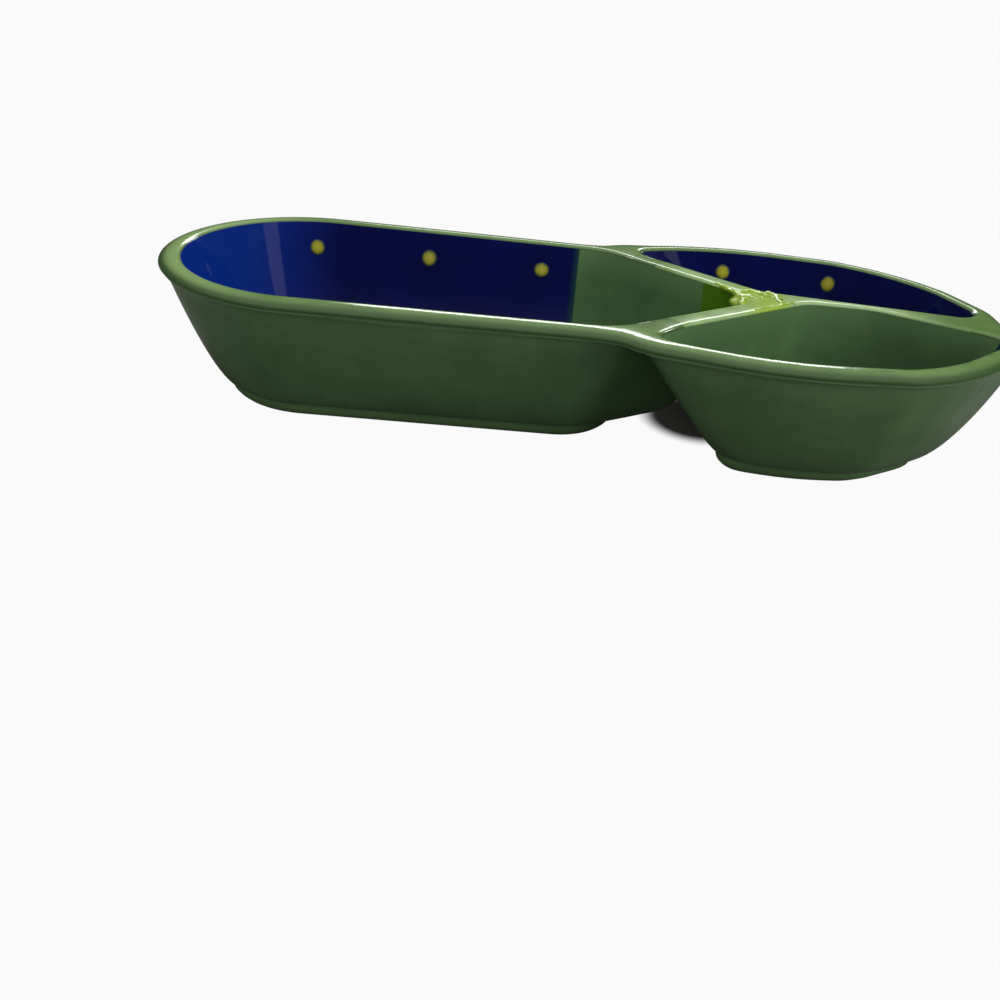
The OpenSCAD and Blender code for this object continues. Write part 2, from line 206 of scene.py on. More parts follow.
def at_level(base, edge, z0, z):
    """The circles of a wall at level z, on the way from its base at z0 to its edge."""
    s = (z - z0) / (EDGE_Z - z0)
    bulge = edge[:, 3:]
    t = (1 - bulge) * s + bulge * math.sqrt(max(0, 1 - (1 - s) ** 2))
    return base * (1 - t) + edge * t


def lift(points, z):
    """Plan points raised to a level, or each to its own."""
    return np.c_[points, np.broadcast_to(z, len(points))]


# Outer edge of the rim: two outlines seen from one hub and blended where they cross. Directions that
# barely face a ray don't bound it.
HUB_AT, WAIST_BLEND, RIM_SOFT, GRAZING = 0.45, 30, 1.5, 0.05
rim_hub = np.array([junction_x - HUB_AT * PAIR_LEN, 0])


def ray_length(c, rays):
    """Distance from the hub to the edge of the circles' hull along each ray."""
    bound = reach(c) - ways @ rim_hub
    facing = rays @ ways.T
    return np.where(facing > GRAZING, bound / np.maximum(facing, GRAZING), np.inf).min(1)


def rim_edge(points):
    """Distance from the hub to the rim's outer edge, in the direction of each point."""
    v = points - rim_hub
    rays = v / np.linalg.norm(v, axis=1)[:, None]
    a = ray_length(grow(long_edge, RIM_W), rays)
    b = ray_length(grow(pair_edges, RIM_W), rays)
    return np.maximum(a, b) + np.maximum(WAIST_BLEND - abs(a - b), 0) ** 2 / (4 * WAIST_BLEND)


rim_path = even(rim_hub + rim_edge(rim_hub + ways)[:, None] * ways, RIM_N, RIM_SOFT)


def offset(loop, d):
    """A loop moved outwards by d mm."""
    v = np.roll(loop, -1, axis=0) - np.roll(loop, 1, axis=0)
    v /= np.linalg.norm(v, axis=1)[:, None]
    return loop + d * np.c_[v[:, 1], -v[:, 0]]


def inside(points, loop):
    """Whether each plan point lies inside a loop."""
    odd = np.zeros(len(points), bool)
    for a, b in zip(loop, np.roll(loop, -1, axis=0)):
        if a[1] != b[1]:
            crosses = (a[1] > points[:, 1]) != (b[1] > points[:, 1])
            odd ^= crosses & (points[:, 0] < a[0] + (points[:, 1] - a[1]) * (b[0] - a[0]) / (b[1] - a[1]))
    return odd


def depth(points, loop):
    """Distance of plan points inside a loop, negative outside it."""
    d = np.full(len(points), np.inf)
    for start, way in zip(loop, np.roll(loop, -1, axis=0) - loop):
        t = np.clip((points - start) @ way / (way @ way), 0, 1)
        d = np.minimum(d, np.linalg.norm(points - start - t[:, None] * way, axis=1))
    return np.where(inside(points, loop), d, -d)


edge_loops = {which: outline(b[2]) for which, b in BOWLS.items()}
# Levels and directions in which a wall is looked for. Past its lip it counts as rising this steeply.
LEVEL_STEPS, STEEP = np.linspace(0, 1, 45), 1.6
few_ways = ways[::4]


def wall_level(points, base, lip):
    """Level at which a bowl's outer wall stands over each plan point."""
    z = FOOT_H + LEVEL_STEPS * (EDGE_Z - FOOT_H)
    gap = np.stack([(points @ few_ways.T - reach(at_level(base, lip, FOOT_H, k), few_ways)).max(1)
                    for k in z])
    first = (gap > 0).sum(0)
    hi = np.clip(first, 1, len(z) - 1)
    n = np.arange(len(points))
    g0, g1 = gap[hi - 1, n], gap[hi, n]
    level = z[hi - 1] + (z[hi] - z[hi - 1]) * g0 / np.maximum(g0 - g1, 1e-9)
    return np.where(first == len(z), EDGE_Z + gap[-1] * STEEP, level)


def low_of(a, b, k):
    """The lower of two levels, with a fillet of reach k between them."""
    return np.minimum(a, b) - np.maximum(k - abs(a - b), 0) ** 2 / (4 * k)


# Level of the webs' underside, and the reach of the fillets under the rim and between the bowls
WEB_Z, RIM_FILLET, WEB_FILLET = 45.6, 3.5, 13


def underside(points):
    """Level of the dish's outer skin over plan points, and of each bowl's own wall there."""
    walls = [wall_level(points, base, lip) for base, lip, _ in BOWLS.values()]
    low = low_of(low_of(walls[0], walls[1], WEB_FILLET), walls[2], WEB_FILLET)
    return low_of(low, np.full(len(points), WEB_Z), RIM_FILLET), np.array(walls)


# Mesh making
def loop_of(bm, points):
    """A closed ring of vertices and edges, each vertex marked with its place on the ring."""
    place = bm.verts.layers.int.get("place") or bm.verts.layers.int.new("place")
    verts = [bm.verts.new(Vector(p) * MM) for p in points]
    for i, v in enumerate(verts):
        v[place] = i
    return [bm.edges.new((v, verts[(i + 1) % len(verts)])) for i, v in enumerate(verts)]


def draw_on(bm, edges, rings):
    """Extrudes a ring of edges through further rings of points, and returns the last ring."""
    place = bm.verts.layers.int["place"]
    for ring in rings:
        made = bmesh.ops.extrude_edge_only(bm, edges=edges)["geom"]
        verts = {v for v in made if isinstance(v, bmesh.types.BMVert)}
        for v in verts:
            v.co = Vector(ring[v[place]]) * MM
        edges = [e for e in made if isinstance(e, bmesh.types.BMEdge) and set(e.verts) <= verts]
    return edges


def closed_loft(rings):
    """A solid through a stack of rings, with a flat face at each end."""
    bm = bmesh.new()
    first = loop_of(bm, rings[0])
    last = draw_on(bm, first, rings[1:])
    for edges in (first, last):
        bmesh.ops.contextual_create(bm, geom=edges)
    bmesh.ops.recalc_face_normals(bm, faces=bm.faces)
    return bm


def piece(name, bm, finish, slot, *nodes, crease=50):
    """Makes a bmesh an object of the dish that stands for the given solids."""
    mesh = bpy.data.meshes.new(name)
    bm.to_mesh(mesh)
    bm.free()
    mesh.shade_smooth()
    mesh.set_sharp_from_angle(angle=math.radians(crease))
    obj = bpy.data.objects.new(name, mesh)
    bpy.context.scene.collection.objects.link(obj)
    mesh.materials.append(finish)
    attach(obj, "root")
    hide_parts(*nodes)
    return obj


# Materials
def srgb(code):
    """sRGB hex to linear."""
    parts = [int(code[i:i + 2], 16) / 255 for i in (1, 3, 5)]
    return [c / 12.92 if c <= 0.04045 else ((c + 0.055) / 1.055) ** 2.4 for c in parts] + [1]


def add(owner, kind, links=None, stops=(), **settings):
    """Adds a node with its settings, a ramp's stops and its inputs, as values or links, and gives its
    outputs."""
    tree = owner.node_tree
    node = tree.nodes.new(kind)
    for key, value in settings.items():
        setattr(node, key, value)
    for i, (place, code) in enumerate(stops):
        stop = node.color_ramp.elements[i] if i < 2 else node.color_ramp.elements.new(place)
        stop.position = place
        stop.color = srgb(code)
    for key, value in (links or {}).items():
        if isinstance(value, bpy.types.NodeSocket):
            tree.links.new(value, node.inputs[key])
        else:
            node.inputs[key].default_value = value
    return node.outputs


# A colour Mix node's sockets go by number, because it has several of one name
MIX_FAC, MIX_A, MIX_B, MIX_OUT = 0, 6, 7, 2
# A fired glaze is a glass. Its ripple is fractions of a millimetre high, and a noise keeps mostly to the
# middle of its range, where a glaze's colours lie.
GLAZE_IOR, RIPPLE_H, CLOUD_LOW, CLOUD_SPAN = 1.5, 0.6, 0.3, 0.4


def glaze(name, colours, mottle_mm=18, roughness=0.08, ripple_mm=7.0, ripple=0.12, over=()):
    """Glossy transparent glaze over coloured slip on earthenware. It shows clear reflections on a skin
    that ripples a little, and cloudy colour where the slip was brushed thicker or thinner. Each layer
    of over is (colour, point, way, start, stop): the colour comes in along the way from the point."""
    mat = bpy.data.materials.new(name)
    mat.use_nodes = True
    mat.node_tree.nodes.clear()
    coords = add(mat, "ShaderNodeTexCoord")["Object"]
    cloud = add(mat, "ShaderNodeTexNoise", {"Vector": coords, "Scale": 1 / (mottle_mm * MM), "Detail": 3.0,
                                            "Roughness": 0.55})["Fac"]
    stops = [(CLOUD_LOW + CLOUD_SPAN * i / (len(colours) - 1), code) for i, code in enumerate(colours)]
    colour = add(mat, "ShaderNodeValToRGB", {"Fac": cloud}, stops)["Color"]
    for code, point, way, start, stop in over:
        moved = add(mat, "ShaderNodeVectorMath", {0: coords, 1: Vector(point) * MM}, operation="SUBTRACT")[0]
        run = add(mat, "ShaderNodeVectorMath", {0: moved, 1: Vector(way).normalized()},
                  operation="DOT_PRODUCT")["Value"]
        share = add(mat, "ShaderNodeMapRange", {"Value": run, "From Min": start * MM, "From Max": stop * MM},
                    interpolation_type="SMOOTHSTEP")["Result"]
        colour = add(mat, "ShaderNodeMix", {MIX_FAC: share, MIX_A: colour, MIX_B: srgb(code)},
                     data_type="RGBA")[MIX_OUT]
    wave = add(mat, "ShaderNodeTexNoise", {"Vector": coords, "Scale": 1 / (ripple_mm * MM), "Detail": 2.0,
                                           "Roughness": 0.4})["Fac"]
    bump = add(mat, "ShaderNodeBump",
               {"Height": wave, "Strength": ripple, "Distance": RIPPLE_H * MM})["Normal"]
    shader = add(mat, "ShaderNodeBsdfPrincipled", {"Base Color": colour, "Roughness": roughness,
                                                   "IOR": GLAZE_IOR, "Normal": bump})["BSDF"]
    add(mat, "ShaderNodeOutputMaterial", {"Surface": shader})
    return mat


UP, DOWN, TO_RIGHT, TO_LEFT = (0, 0, 1), (0, 0, -1), (1, 0, 0), (-1, 0, 0)
# Sage green, paler towards the rim: partly where the glaze ran thin, partly painted light falling from above
THIN_GLAZE_AND_PAINTED_LIGHT = ("#54764A", (0, 0, 38), UP, 0, 11)
# The long bowl's inner end has a pool of lime glaze
POOL = ("#3F6B0C", (44.6, 0, 0), TO_RIGHT, -0.5, 0.5)
GREEN = glaze("sage_green_glaze", ["#46653B", "#517346"], over=[THIN_GLAZE_AND_PAINTED_LIGHT])
# The long bowl's sage is painted a shade darker than the other bowls', for the shade inside it
LONG_SHADED_GREEN = glaze("sage_green_glaze_with_painted_shade_and_lime_pool", ["#42613A", "#4C6E43"], over=[THIN_GLAZE_AND_PAINTED_LIGHT, POOL])
# The feet's glaze is a little duller
FOOT = glaze("green_glaze_on_the_feet", ["#4A6840", "#557649"], roughness=0.14)
# The rim has a painted pool of light at the dish's left end and painted shade down its outer face. Where a
# ridge runs into the rim it takes on the rim's green, and where it runs into the knot the knot's lime.
RIM_GREEN, RIDGE_LIME, RIDGE_PALE = "#5C7B45", "#8DAA3C", "#86A46C"
RIM = glaze("thin_green_glaze_on_the_rim_with_painted_light_and_shade", ["#587840", "#6B8A52"], mottle_mm=14, roughness=0.14,
            over=[("#84A267", (-95, 0, 0), TO_LEFT, 0, 45), ("#3A552D", (0, 0, DISH_H), DOWN, 0, 1.1)])
RIDGE = glaze("thin_green_glaze_on_the_ridges", ["#7E9D64", "#92B079"], mottle_mm=10, roughness=0.14,
              over=[(RIM_GREEN, (40, 0, 0), TO_LEFT, 0, 17), (RIDGE_LIME, (52, 0, 0), TO_RIGHT, 0, 12),
                    (RIDGE_PALE, (68, 0, 0), TO_RIGHT, 0, 8)])
END_RIDGE = glaze("thin_green_glaze_on_the_end_ridge", [RIDGE_PALE, "#9AB585"], mottle_mm=10, roughness=0.14,
                  over=[(RIM_GREEN, (105, 0, 0), TO_RIGHT, 0, 26), (RIDGE_LIME, (76, 0, 0), TO_LEFT, 0, 8)])
# Lime glaze that ran together on the knot: thick, wet-looking and crinkled over the folds
KNOT = glaze("pooled_lime_glaze", ["#5E8415", "#86A533", "#A8BE5E"], mottle_mm=5, roughness=0.05,
             ripple_mm=2.0, ripple=0.5)

# Rings of the walls, in shares of their height, closer where a wall turns out of its floor
OUT_SHARES = np.concatenate([[0, 0.002, 0.008, 0.02, 0.04, 0.07], np.linspace(0.11, 1, 34)])
IN_SHARES = np.concatenate([[0, 0.001, 0.004, 0.01, 0.02, 0.04, 0.07, 0.11, 0.16],
                            np.linspace(0.22, 1, 18)])
# Lip of an opening: a quarter of an ellipse, from the wall up to the crest
LIP_R, LIP_RISE, LIP_LEAN = 2.3, 1.4, 0.2
LIP_ANGLES = np.radians([10, 17, 25, 35, 45])
LIP_Z = DISH_H - LIP_RISE + LIP_RISE * math.sin(LIP_ANGLES[0])


def inside_rings(base, edge, inward=0.0, top=LIP_Z):
    """Rings of a bowl's inner wall from its floor to the lip, drawn in by inward mm."""
    inner_base = grow(base, -WALL_T)
    levels = FLOOR_Z + IN_SHARES * (top - FLOOR_Z)
    return [lift(outline(grow(at_level(inner_base, edge, FLOOR_Z, z), -inward)),
                 z + inward * (1 - (z - FLOOR_Z) / (top - FLOOR_Z))) for z in levels]


# Past the lip the outer skin goes out in steps, until a neighbour's wall is much lower or the rim's edge
# is near. Where a neighbour's wall is the lower one, it is tucked in behind that wall.
WEB_STEPS = (0.7, 1.4, 2.1, 3, 4, 5, 6.5, 8, 10, 12)
WEB_REACH, RIM_CLEAR, TUCK, TUCK_OVER = 4, 1.4, 0.25, 3


def outside_rings(which):
    """Rings of a bowl's outer wall, out to the rim and the webs, with fillets to its neighbours."""
    base, lip, _ = BOWLS[which]
    own = list(BOWLS).index(which)
    levels = FOOT_H + OUT_SHARES * (EDGE_Z - FOOT_H)
    plan = [outline(at_level(base, lip, FOOT_H, z)) for z in levels]
    for d in WEB_STEPS:
        wide = outline(grow(lip, d))
        walls = underside(wide)[1]
        others = np.delete(walls, own, axis=0).min(0)
        far = (walls[own] - others > WEB_REACH) | (depth(wide, rim_path) < RIM_CLEAR)
        plan.append(np.where(far[:, None], plan[-1], wide))
    rings = []
    for p in plan:
        z, walls = underside(p)
        past = walls[own] - np.delete(walls, own, axis=0).min(0)
        rings.append(lift(p, z + TUCK * np.clip(past / TUCK_OVER, 0, 1)))
    return rings


# Hidden turns of a shell: up inside the rim, behind the lip, and under the base as insets and drops
SHELL_TOP_Z, BEHIND_LIP, BEHIND_LIP_Z = RIM_Z + 2, 0.6, LIP_Z - 0.3
UNDER_BASE = [(1.2, 0.1), (0.35, 0.05)]
WELD = 0.002


def bowl_shell(which):
    """A bowl's wall and floor: under its base, up its outside, in under the rim and down its inside."""
    base, _, edge = BOWLS[which]
    out = outside_rings(which)
    top = lift(out[-1][:, :2], SHELL_TOP_Z)
    tucked = lift(offset(edge_loops[which], BEHIND_LIP), BEHIND_LIP_Z)
    under = [lift(outline(grow(base, -d)), FOOT_H - drop) for d, drop in UNDER_BASE]
    bm = closed_loft(under + out + [top, tucked] + inside_rings(base, edge)[::-1])
    bmesh.ops.remove_doubles(bm, verts=bm.verts, dist=WELD * MM)
    return bm


# Section of a foot: inset from the wall's base, and level
FOOT_SECTION = [(4.2, 0), (3.2, 0), (2.75, 0.15), (2.2, 0.6), (1.6, 1.15), (1.1, 1.8),
                (0.8, 2.6), (0.65, 3.4), (0.7, 4.1), (0.95, 4.6), (1.3, 4.9), (1.8, 5.4)]


def foot(which):
    """A bowl's foot, with a rounded edge to stand on, drawn in again under the wall."""
    stand = long_stand if which == "long" else BOWLS[which][0]
    return closed_loft([lift(outline(grow(stand, -d)), z) for d, z in FOOT_SECTION])


shell_finish = {"long": LONG_SHADED_GREEN, "front": GREEN, "back": GREEN}
for which in BOWLS:
    piece(which + "_bowl_shell", bowl_shell(which), shell_finish[which], "green_glaze", which + "_bowl")
    piece(which + "_foot_ring", foot(which), FOOT, "foot_glaze", which + "_foot")


# Rim and ridges: one skin over the tops of the walls, parted into four pieces. The rim falls from a
# crest beside the opening to its outer edge, and turns under there.
RIM_FALL, RIM_FALL_W, RIM_LOW, RIM_TURN = 2.3, 6.4, 3.2, 2.4
# Under the rim, as insets and rises from its lowest line, and behind the lips, as distances and levels
UNDER_RIM = [(3.2, 0.3), (4.6, 1.0)]
BEHIND_WALL = [(0.35, LIP_Z - 0.8), (0.7, RIM_Z + 1.4)]
# The ridges come down from the rim's level this far inside its outer edge, over this width
RIDGE_FROM, RIDGE_OVER = 7, 14


def rim_drop(d):
    """Drop of the rim's roll below its crest, d mm inside the outer edge."""
    return RIM_FALL * (1 - np.sqrt(1 - np.clip(1 - d / RIM_FALL_W, 0, 1) ** 2))


def lip_drop(d):
    """Drop of an opening's lip below its crest, d mm outside the opening's edge."""
    return LIP_RISE * (1 - np.sqrt(1 - np.clip(1 - (d + LIP_LEAN) / LIP_R, 0, 1) ** 2))


def lip_ring(which, angle):
    """Plan of an opening's lip at an angle of its quarter round."""
    return offset(edge_loops[which], LIP_R - LIP_LEAN - LIP_R * math.cos(angle))


def from_openings(points):
    """Distance of plan points outside each opening's edge."""
    return np.array([-depth(points, loop) for loop in edge_loops.values()])


def top_level(points):
    """Level of the rim and the ridges over plan points."""
    d_rim = depth(points, rim_path)
    drop = rim_drop(d_rim) + lip_drop(from_openings(points)).sum(0)
    low = np.clip((d_rim - RIDGE_FROM) / RIDGE_OVER, 0, 1)
    return DISH_H - drop - RIDGE_DROP * low * low * (3 - 2 * low)


# Skin between the loops: a staggered grid of points, clear of the loops at the lips and at the rim
SKIN_STEP, SKIN_HALF, OFF_LIP, OFF_RIM, SKIN_EPS = 1.8, (150, 66), 3.9, 5.2, 1e-6


def rim_and_ridges():
    """The rim and the ridges as one closed skin, which drops down its sides and is filled below."""
    rim_insets = [0.4, 0.85, 1.4, 2.1, 2.9, 3.7, 4.4]
    lip_angles = np.radians([45, 55, 64, 72, 79, 86])
    loops = [offset(rim_path, -d) for d in rim_insets]
    for which in BOWLS:
        loops += [lip_ring(which, a) for a in lip_angles]
    points = np.vstack(loops)
    starts = np.cumsum([0] + [len(k) for k in loops])
    edges = [(s + i, s + (i + 1) % len(k)) for s, k in zip(starts, loops) for i in range(len(k))]
    gx, gy = np.meshgrid(*(np.arange(-half, half, SKIN_STEP) for half in SKIN_HALF))
    odd_row = np.arange(gx.size) // gx.shape[1] % 2
    loose = np.c_[gx.ravel() + SKIN_STEP / 2 * odd_row, gy.ravel()]
    loose = loose[(from_openings(loose).min(0) > OFF_LIP) & (depth(loose, rim_path) > OFF_RIM)]
    points = np.vstack([points, loose])
    verts, _, faces, origin, _, _ = delaunay_2d_cdt([Vector(p) for p in points], edges, [], 0, SKIN_EPS)
    flat = np.array([v[:] for v in verts])
    middle = np.array([flat[list(f)].mean(0) for f in faces])
    kept = inside(middle, loops[0])
    for k in range(len(BOWLS)):
        kept &= ~inside(middle, loops[len(rim_insets) + k * len(lip_angles)])
    bm = bmesh.new()
    place = bm.verts.layers.int.new("place")
    made = [bm.verts.new(Vector((*p, z)) * MM) for p, z in zip(flat, top_level(flat))]
    at = {o: v for v, named in zip(made, origin) for o in named}
    for f, keep in zip(faces, kept):
        if keep:
            bm.faces.new([made[i] for i in f])
    bmesh.ops.delete(bm, geom=[v for v in made if not v.link_faces], context="VERTS")

    def boundary(index):
        """Edges of the skin along one of its loops, with their places marked."""
        ring = [at[starts[index] + i] for i in range(len(loops[index]))]
        for i, v in enumerate(ring):
            v[place] = i
        return [bm.edges.get((v, ring[(i + 1) % len(ring)])) for i, v in enumerate(ring)]

    # Down the outer side, round under the rim and in over the walls
    side = [(d, DISH_H - rim_drop(d)) for d in (0.15, 0.04)]
    side += [(RIM_TURN * (1 - math.cos(a)), DISH_H - RIM_FALL - (RIM_LOW - RIM_FALL) * math.sin(a))
             for a in np.radians([0, 12, 24, 36, 48, 60, 72, 84])]
    side += [(d, DISH_H - RIM_LOW + rise) for d, rise in UNDER_RIM]
    bottom = [draw_on(bm, boundary(0), [lift(offset(rim_path, -d), z) for d, z in side])]
    # Down the lips of the openings and behind the inner walls
    for k, (which, (base, _, edge)) in enumerate(BOWLS.items()):
        first = len(rim_insets) + k * len(lip_angles)
        rings = [lift(lip_ring(which, a), DISH_H - LIP_RISE * (1 - math.sin(a)))
                 for a in LIP_ANGLES[-2:0:-1]]
        rings.append(inside_rings(base, edge)[-1])
        rings += [lift(offset(edge_loops[which], d), z) for d, z in BEHIND_WALL]
        bottom.append(draw_on(bm, boundary(first), rings))
    bmesh.ops.triangle_fill(bm, edges=[e for loop in bottom for e in loop], use_beauty=True)
    bmesh.ops.recalc_face_normals(bm, faces=bm.faces)
    return bm


# Where the ridges part: from the rim this far along a slanted ridge or at this x, and from each
# other on lines from a point under the knot. A ridge reaches this far to its sides, and the end ridge
# keeps off the rim's outer edge.
RIDGE_RUN, END_RIDGE_STOP, RIDGE_REACH, OFF_EDGE = 52, 133, 14, 12
MEETING = np.array([69, 3])
MEETING_SLOPE, MEETING_STOP = 0.75, junction_x + 8
# A cut goes through the faces near its middle only
CUT_NEAR, CUT_EPS, END_CUT_Y = 16, 1e-7, -5


def ridge_names(points):
    """Name of the piece that holds each plan point."""
    p = points - junction
    x, y = points.T
    names = np.full(len(points), "rim  ")
    ends = (x >= MEETING[0]) & (x < END_RIDGE_STOP) & (from_openings(points).min(0) < RIDGE_REACH)
    ends &= depth(points, rim_path) > OFF_EDGE
    names[ends] = "end"
    past_line = y < MEETING[1] - MEETING_SLOPE * (x - MEETING[0])
    names[ends & past_line & (x < MEETING_STOP)] = "front"
    for turn in (1, -1):
        out, side = p @ (along * (1, turn)), p @ (across * (1, turn))
        ridge = (out > 0) & (out < RIDGE_RUN) & (abs(side) < RIDGE_REACH) & (x < MEETING[0])
        names[ridge] = np.where(y[ridge] > MEETING[1], "back", "front")
    return np.char.strip(names)


def part(whole):
    """The whole skin cut into the rim and the three ridges, each closed again where it was cut."""
    cuts = [(junction + along * (1, turn) * RIDGE_RUN, along * (1, turn)) for turn in (1, -1)]
    cuts.append((np.array([END_RIDGE_STOP, END_CUT_Y]), np.array([1, 0])))
    for point, way in cuts:
        near = [f for f in whole.faces if (f.calc_center_median().xy / MM - Vector(point)).length < CUT_NEAR]
        geom = list({*near, *(e for f in near for e in f.edges), *(v for f in near for v in f.verts)})
        bmesh.ops.bisect_plane(whole, geom=geom, dist=CUT_EPS, plane_co=Vector((*point, 0)) * MM,
                               plane_no=Vector((*way, 0)))
    bmesh.ops.triangulate(whole, faces=whole.faces)
    names = ridge_names(np.array([f.calc_center_median().xy for f in whole.faces]) / MM)
    pieces = {}
    for name in ("rim", "back", "front", "end"):
        bm = whole.copy()
        bm.faces.ensure_lookup_table()
        bmesh.ops.delete(bm, geom=[f for f, n in zip(bm.faces, names) if n != name], context="FACES")
        bmesh.ops.holes_fill(bm, edges=[e for e in bm.edges if e.is_boundary], sides=0)
        bmesh.ops.recalc_face_normals(bm, faces=bm.faces)
        pieces[name] = bm
    whole.free()
    return pieces


skin = part(rim_and_ridges())
piece("rim_roll", skin["rim"], RIM, "rim_glaze", "outer_rim")
for which, finish in (("front", RIDGE), ("back", RIDGE), ("end", END_RIDGE)):
    piece(which + "_ridge", skin[which], finish, "ridge_glaze", which + "_divider")


# Blue coats: thin layers on the inner walls that end on a straight line. They are rooted in the walls.
COAT_T, COAT_ROOT = 0.18, 0.25
COAT_TOP = LIP_Z + 0.25
# The long bowl's coat ends this far from the junction
LONG_COAT_STOP = 71.9


def blue_coat(which, line_point, line_normal):
    """A bowl's coat, from its floor to its lip, on one side of a line in plan."""
    base, _, edge = BOWLS[which]
    back = inside_rings(base, edge, -COAT_ROOT, COAT_TOP)
    face = inside_rings(base, edge, COAT_T, COAT_TOP)
    bm = closed_loft(back + face[::-1])
    bmesh.ops.bisect_plane(bm, geom=bm.verts[:] + bm.edges[:] + bm.faces[:], dist=CUT_EPS,
                           plane_co=Vector((*line_point, 0)) * MM, plane_no=Vector((*line_normal, 0)),
                           clear_outer=True)
    bmesh.ops.holes_fill(bm, edges=[e for e in bm.edges if e.is_boundary], sides=0)
    bmesh.ops.recalc_face_normals(bm, faces=bm.faces)
    return bm


# A painted pool of light and reflection brightens the blue round the dish's far left end
PAINTED_LIGHT_ON_BLUE = ("#0A2A82", (-88, 0, 0), TO_LEFT, 0, 50)
cuts = {"long": (np.array([junction_x - LONG_COAT_STOP, 0]), np.array([1, 0]))}
for which, turn in (("back", 1), ("front", -1)):
    edge = BOWLS[which][2]
    line = edge[2, :2] - edge[0, :2]
    cuts[which] = (edge[0, :2], np.array([line[1], -line[0]]) * turn)
for which, (line_point, line_normal) in cuts.items():
    # Cobalt slip under the glaze: a deep even blue that thins out where the brush stopped
    thin_edge = ("#163A3C", (*line_point, 0), (*line_normal, 0), -3.0, 0.3)
    finish = glaze(which + "_cobalt_blue_glaze", ["#02083C", "#040E4C"], mottle_mm=22, roughness=0.06,
                   ripple_mm=10, over=[thin_edge, PAINTED_LIGHT_ON_BLUE])
    piece(which + "_cobalt_coat", blue_coat(which, line_point, line_normal), finish, "blue_glaze",
          which + "_blue_coat")


# Flat dots of slip on the coats, each a little oval and uneven
DOT_RISE, DOT_OVAL, DOT_OVAL_STEP, DOT_WOBBLE, DOT_WAVE = 0.4, 0.06, 2.3, 0.05, 1.3
# A dot's spot is looked for on a fine ring, past this y, with its slope taken over steps of this size
SPOT_N, SPOT_PAST, SPOT_STEP = 960, {"long": 4, "front": 35, "back": 35}, 2


def wall_spot(which, x, z, side):
    """Where a bowl's coat has this x and z, and which way it faces there."""
    base, _, edge = BOWLS[which]

    def y_at(x, z):
        ring = outline(grow(at_level(grow(base, -WALL_T), edge, FLOOR_Z, z), -COAT_T), SPOT_N)
        ring = ring[ring[:, 1] * side > SPOT_PAST[which]]
        ring = ring[np.argsort(ring[:, 0])]
        return np.interp(x, ring[:, 0], ring[:, 1])

    y = y_at(x, z)
    slope_x = (y_at(x + SPOT_STEP, z) - y_at(x - SPOT_STEP, z)) / (2 * SPOT_STEP)
    slope_z = (y_at(x, z + SPOT_STEP) - y_at(x, z - SPOT_STEP)) / (2 * SPOT_STEP)
    facing = Vector((slope_x, -1, slope_z)).normalized()
    return Vector((x, y, z)), facing if side > 0 else -facing


def slip_dots(which, places):
    """A bowl's dots, each vertex marked with its share of the dot's radius."""
    bm = bmesh.new()
    reach = bm.verts.layers.float.new("reach")
    for n, (x, z, side) in enumerate(places):
        spot, facing = wall_spot(which, x, z, side)
        turn = facing.to_track_quat("Z", "Y").to_matrix().to_4x4()
        height = DOT_D / 2 * (1 + DOT_OVAL * math.sin(DOT_OVAL_STEP * n))
        size = Matrix.Diagonal((DOT_D / 2, height, DOT_RISE, 1))
        placed = Matrix.Scale(MM, 4) @ Matrix.Translation(spot) @ turn @ size
        made = bmesh.ops.create_uvsphere(bm, u_segments=36, v_segments=20, radius=1)["verts"]
        for v in made:
            v[reach] = v.co.xy.length
            v.co *= 1 + DOT_WOBBLE * noise.noise(v.co * DOT_WAVE + Vector((7 * n, 3, 1)))
        bmesh.ops.transform(bm, verts=made, matrix=placed)
    return bm


# Grain of the slip's brushing, in mm, and how far it makes a dot's edge uneven
BRUSH_MM, BRUSH_SHARE = 1.5, 0.3


def slip():
    """Yellow slip under the clear glaze: it looks flat, and its edge thins out over the blue."""
    mat = bpy.data.materials.new("yellow_slip_under_glaze")
    mat.use_nodes = True
    mat.node_tree.nodes.clear()
    coords = add(mat, "ShaderNodeTexCoord")["Object"]
    reach = add(mat, "ShaderNodeAttribute", attribute_name="reach")["Fac"]
    brushed = add(mat, "ShaderNodeTexNoise",
                  {"Vector": coords, "Scale": 1 / (BRUSH_MM * MM), "Detail": 2.0})["Fac"]
    uneven = add(mat, "ShaderNodeMath", {0: brushed, 1: BRUSH_SHARE, 2: reach},
                 operation="MULTIPLY_ADD")[0]
    colour = add(mat, "ShaderNodeValToRGB", {"Fac": uneven},
                 [(0.2, "#ABA534"), (0.75, "#949028"), (0.98, "#63662B"), (1.0, "#3A4734")])["Color"]
    shader = add(mat, "ShaderNodeBsdfPrincipled",
                 {"Base Color": colour, "Roughness": 0.22, "IOR": GLAZE_IOR})["BSDF"]
    add(mat, "ShaderNodeOutputMaterial", {"Surface": shader})
    return mat


SLIP = slip()
long_z, small_z = DISH_H - LONG_DOT_DROP, DISH_H - SMALL_DOT_DROP
long_dot_x, LONG_DOT_GAP = end_x - 7.5, 44.5
small_dot_x, SMALL_DOT_GAP = junction_x - 13, 42
dots = {"long": [(long_dot_x + i * LONG_DOT_GAP, long_z, side) for side in (1, -1) for i in range(3)],
        "back": [(small_dot_x + i * SMALL_DOT_GAP, small_z, 1) for i in range(2)],
        "front": [(small_dot_x + i * SMALL_DOT_GAP, small_z, -1) for i in range(2)]}
for which, places in dots.items():
    piece(which + "_slip_dots", slip_dots(which, places), SLIP, "yellow_slip", which + "_dots")


# Knot where the ridges were luted together: folds of clay under pooled glaze
LUMP_WOBBLE, LUMP_WAVE = 0.25, 1.6
SWELL, SWELL_WAVE, FOLD_FLAT = 0.35, 0.6, 0.7


